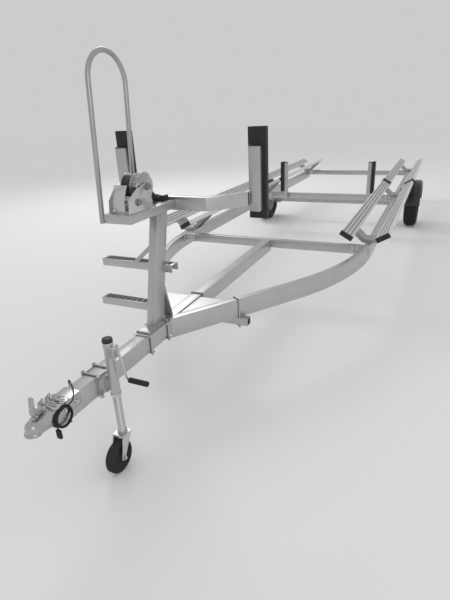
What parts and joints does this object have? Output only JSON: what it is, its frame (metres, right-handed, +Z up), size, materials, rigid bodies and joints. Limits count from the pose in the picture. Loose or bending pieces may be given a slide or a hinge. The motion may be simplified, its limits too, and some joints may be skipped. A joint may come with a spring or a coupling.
{
  "type": "boat trailer",
  "caption": "Aluminium pontoon boat trailer with curved side rails, tilted bunk boards, winch post with steps and hand hoop, bow pads, single sprung axle and swing-up tongue jack.",
  "frame": {"origin": "on the ground below the middle of the trailer's length and width", "axes": "+X to the trailer's left, +Y to its rear, +Z up; the coupler is at -Y"},
  "size_m": [2.42, 8.15, 1.974],
  "materials": {
    "frame_aluminium": "satin mill finish",
    "board_aluminium": "ribbed extrusion, bright",
    "galvanised_steel": "hot-dip galvanised",
    "zinc_plate": "zinc plated, smooth",
    "painted_steel": "black, satin",
    "black_plastic": "moulded, slight sheen",
    "fender_plastic": "glossy black",
    "pad_plastic": "black",
    "stop_rubber": "matt black",
    "tyre_rubber": "worn black",
    "rim_steel": "galvanised grey",
    "wheel_plastic": "black",
    "webbing": "woven black",
    "cable_jacket": "black, flexible",
    "lens_red": "red lens"
  },
  "bodies": {
    "trailer": {"tongue_beam": "frame_aluminium", "rail_left": "frame_aluminium", "rail_right": "frame_aluminium", "junction_gussets": "frame_aluminium", "cross_tube": "frame_aluminium", "crossmember_front": "frame_aluminium", "crossmember_mid": "frame_aluminium", "crossmember_rear": "frame_aluminium", "crossmember_brackets": "frame_aluminium", "frame_u_bolts": "galvanised_steel", "post_foot": "frame_aluminium", "foot_u_bolts": "galvanised_steel", "winch_post": "frame_aluminium", "post_brace": "frame_aluminium", "boarding_steps": "frame_aluminium", "winch_platform": "frame_aluminium", "hand_hoop": "frame_aluminium", "bow_bar": "frame_aluminium", "bow_pad_posts": "frame_aluminium", "bow_pads": "pad_plastic", "bow_stop": "stop_rubber", "winch_frame": "zinc_plate", "strap_tail": "webbing", "guide_posts": "frame_aluminium", "guide_pads": "pad_plastic", "bunk_boards_left": "board_aluminium", "bunk_boards_right": "board_aluminium", "end_caps": "black_plastic", "bunk_saddles": "frame_aluminium", "axle_beam": "galvanised_steel", "leaf_springs": "galvanised_steel", "spring_hangers": "galvanised_steel", "fenders": "fender_plastic", "fender_brackets": "galvanised_steel", "coupler": "galvanised_steel", "coupler_latch": "galvanised_steel", "jack_bracket": "galvanised_steel", "tail_lights": "lens_red", "tie_down_left": "galvanised_steel", "tie_down_right": "galvanised_steel", "step_strip": "frame_aluminium", "safety_chains": "galvanised_steel", "wiring_gland": "black_plastic", "wiring_cable": "cable_jacket", "wiring_coil": "cable_jacket", "wiring_plug": "black_plastic"},
    "wheel_left": {"tyre_left": "tyre_rubber", "rim_left": "rim_steel", "hub_left": "galvanised_steel"},
    "wheel_right": {"tyre_right": "tyre_rubber", "rim_right": "rim_steel", "hub_right": "galvanised_steel"},
    "drum": {"winch_drum": "zinc_plate", "strap_roll": "webbing"},
    "jack_body": {"jack_tube": "zinc_plate", "jack_cap": "black_plastic", "jack_crank": "zinc_plate"},
    "jack_inner": {"jack_leg": "zinc_plate"},
    "caster": {"jack_fork": "zinc_plate"},
    "caster_wheel": {"jack_wheel": "wheel_plastic"}
  },
  "joints": [
    {"name": "wheel_left_spin", "type": "hinge", "parent": "trailer", "child": "wheel_left", "pos_m": [1.1, 1.925, 0.305], "axis": [1, 0, 0], "continuous": true},
    {"name": "wheel_right_spin", "type": "hinge", "parent": "trailer", "child": "wheel_right", "pos_m": [-1.1, 1.925, 0.305], "axis": [1, 0, 0], "continuous": true},
    {"name": "winch_drum_spin", "type": "hinge", "parent": "trailer", "child": "drum", "pos_m": [-0.047, -3.089, 1.327], "axis": [1, 0, 0], "continuous": true},
    {"name": "jack_swing", "type": "hinge", "parent": "trailer", "child": "jack_body", "pos_m": [0.06, -3.635, 0.479], "axis": [1, 0, 0], "range_deg": [0, 90]},
    {"name": "jack_lift", "type": "slide", "parent": "jack_body", "child": "jack_inner", "axis": [0, 0, 1], "range_m": [-0.1, 0.115]},
    {"name": "caster_swivel", "type": "hinge", "parent": "jack_inner", "child": "caster", "pos_m": [0.102, -3.635, 0.2], "axis": [0, 0, 1], "continuous": true},
    {"name": "caster_roll", "type": "hinge", "parent": "caster", "child": "caster_wheel", "pos_m": [0.102, -3.69, 0.085], "axis": [1, 0, 0], "continuous": true}
  ]
}
